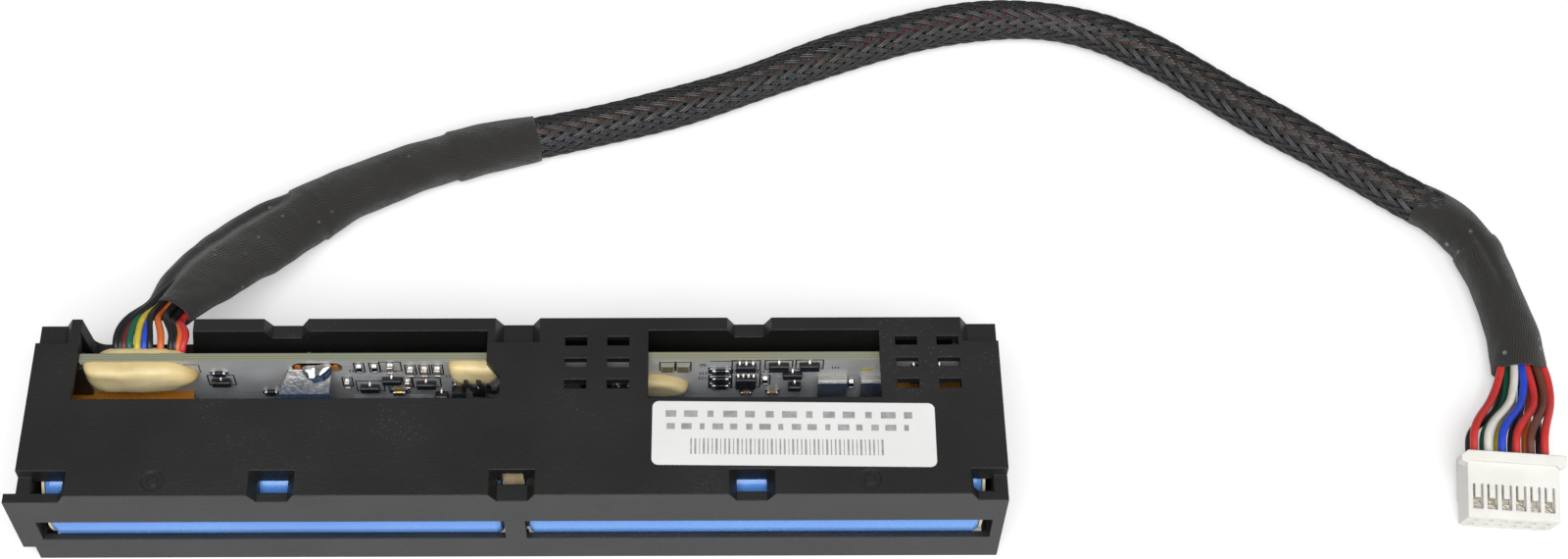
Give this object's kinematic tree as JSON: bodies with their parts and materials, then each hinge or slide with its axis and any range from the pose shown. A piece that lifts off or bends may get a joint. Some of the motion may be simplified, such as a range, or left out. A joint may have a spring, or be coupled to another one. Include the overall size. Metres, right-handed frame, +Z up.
{
  "type": "battery module with cable",
  "caption": "Long black moulded holder with cylindrical cells in front, a populated board seen through top windows, and a sleeved cable ending in a white crimp plug.",
  "frame": {"origin": "centre of the base of the housing, its end tongue counted", "axes": "+X along the housing from the tongue end and cable outlet to the plain end, +Y from the slotted front to the rear wall where the cable leaves, +Z up from the open underside to the top with the windows"},
  "size_m": [0.2337, 0.103, 0.02],
  "materials": {
    "housing_black": "fine-grained satin black moulding",
    "cell_sleeve": "blue shrink sleeve with a soft gloss",
    "insulator_paper": "cream insulating paper",
    "spacer_paper": "tan folded paper pad",
    "nickel": "bright nickel strip",
    "board_laminate": "grey solder mask over glass laminate",
    "solder": "bright bumpy solder",
    "resistor_body": "black glazed chip with tinned ends",
    "capacitor_body": "tan ceramic chip with tinned ends",
    "chip_epoxy": "black moulded epoxy with tinned legs",
    "diode_body": "black moulded diode",
    "inductor_body": "dark ferrite spool",
    "square_body": "olive square part",
    "gold_body": "gilt metal can",
    "glue": "cream set silicone glue",
    "amber_film": "amber polyimide film",
    "wire_black": "black wire insulation",
    "label_white": "white printed label film",
    "wires_mixed": "wire insulation in several colours",
    "cloth_tape": "black fine-ribbed cloth tape",
    "braid": "black glossy monofilament braid",
    "plug_nylon": "off-white nylon",
    "terminal_tin": "tinned crimp terminal"
  },
  "bodies": {
    "root": {"housing": "housing_black", "cell_left": "cell_sleeve", "cell_right": "cell_sleeve", "cell_insulators": "insulator_paper", "cell_spacer": "spacer_paper", "link_tab": "nickel", "end_tab_left": "nickel", "end_tab_right": "nickel", "circuit_board": "board_laminate", "board_tab": "nickel", "board_tab_solder": "solder", "nickel_tabs": "nickel", "chip_resistors": "resistor_body", "chip_capacitors": "capacitor_body", "transistors": "chip_epoxy", "control_chips": "chip_epoxy", "diodes": "diode_body", "inductor": "inductor_body", "square_parts": "square_body", "gold_part": "gold_body", "rear_solder": "solder", "glue_wires_front": "glue", "glue_wires_rear": "glue", "glue_middle": "glue", "glue_right": "glue", "film_tape_left": "amber_film", "film_tape_right": "amber_film", "sense_wires": "wire_black", "rating_label": "label_white", "wires_board": "wires_mixed", "wrap_near": "cloth_tape", "braided_sleeve": "braid", "wrap_far": "cloth_tape", "wires_plug": "wires_mixed", "plug_shell": "plug_nylon", "plug_terminals": "terminal_tin"}
  },
  "joints": []
}
